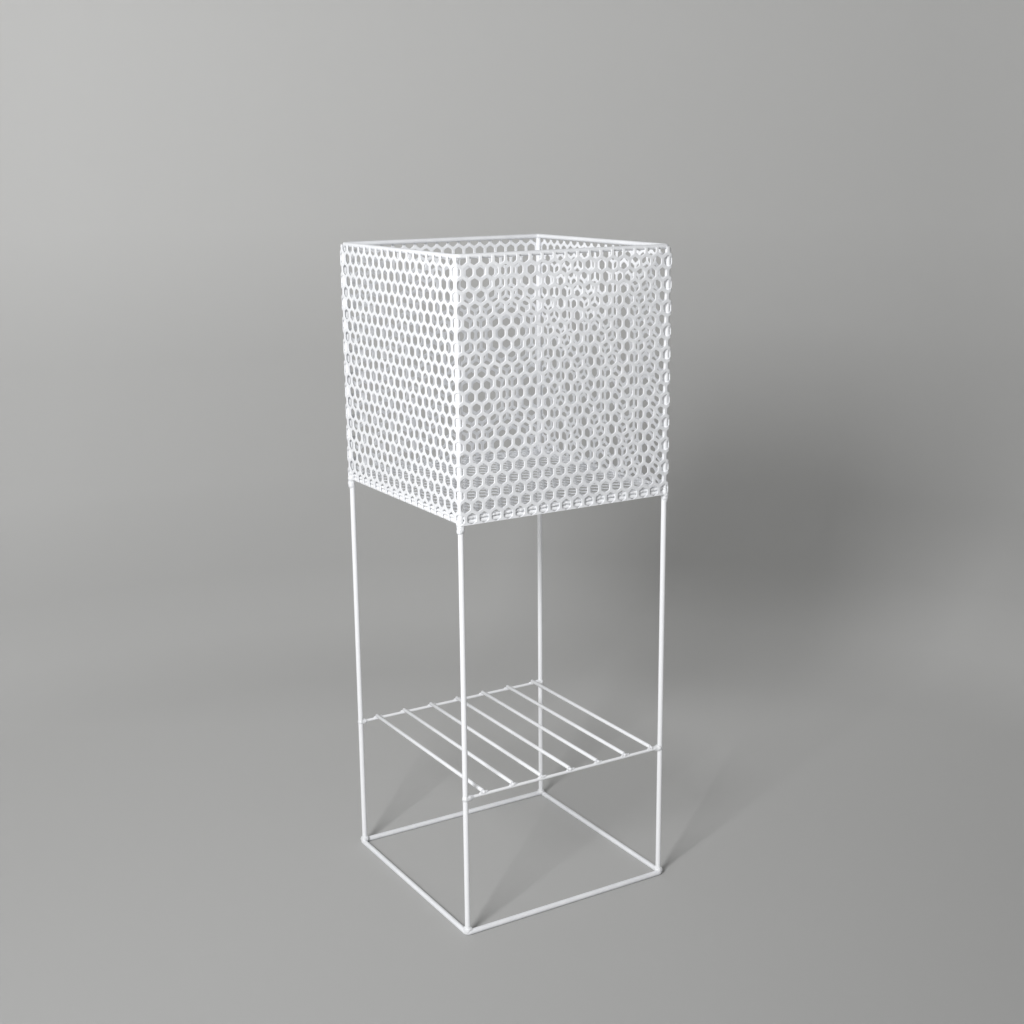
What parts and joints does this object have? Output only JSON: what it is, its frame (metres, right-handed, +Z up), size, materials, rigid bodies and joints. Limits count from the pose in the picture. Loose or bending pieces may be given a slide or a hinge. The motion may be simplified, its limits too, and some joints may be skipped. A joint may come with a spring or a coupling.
{
  "type": "raised planter stand",
  "caption": "Tall square welded rod stand with a hexagon-mesh basket on top and an open shelf of bars near the ground, all in white coated steel.",
  "frame": {"origin": "on the ground under the middle of the base ring", "axes": "+Z up; +X along the shelf rails, to the right seen from the front; -Y is the front"},
  "size_m": [0.312, 0.312, 0.853],
  "materials": {
    "white_coat": "smooth white powder coat, low sheen"
  },
  "bodies": {
    "root": {"base_ring": "white_coat", "rim_ring": "white_coat", "post_front_left": "white_coat", "post_front_right": "white_coat", "post_back_left": "white_coat", "post_back_right": "white_coat", "floor_rod_front": "white_coat", "floor_rod_right": "white_coat", "floor_rod_back": "white_coat", "floor_rod_left": "white_coat", "shelf_rail_front": "white_coat", "shelf_rail_back": "white_coat", "shelf_bar_1": "white_coat", "shelf_bar_2": "white_coat", "shelf_bar_3": "white_coat", "shelf_bar_4": "white_coat", "shelf_bar_5": "white_coat", "shelf_bar_6": "white_coat", "shelf_bar_7": "white_coat", "mesh_wall_front": "white_coat", "mesh_wall_right": "white_coat", "mesh_wall_back": "white_coat", "mesh_wall_left": "white_coat", "mesh_floor": "white_coat"}
  },
  "joints": []
}
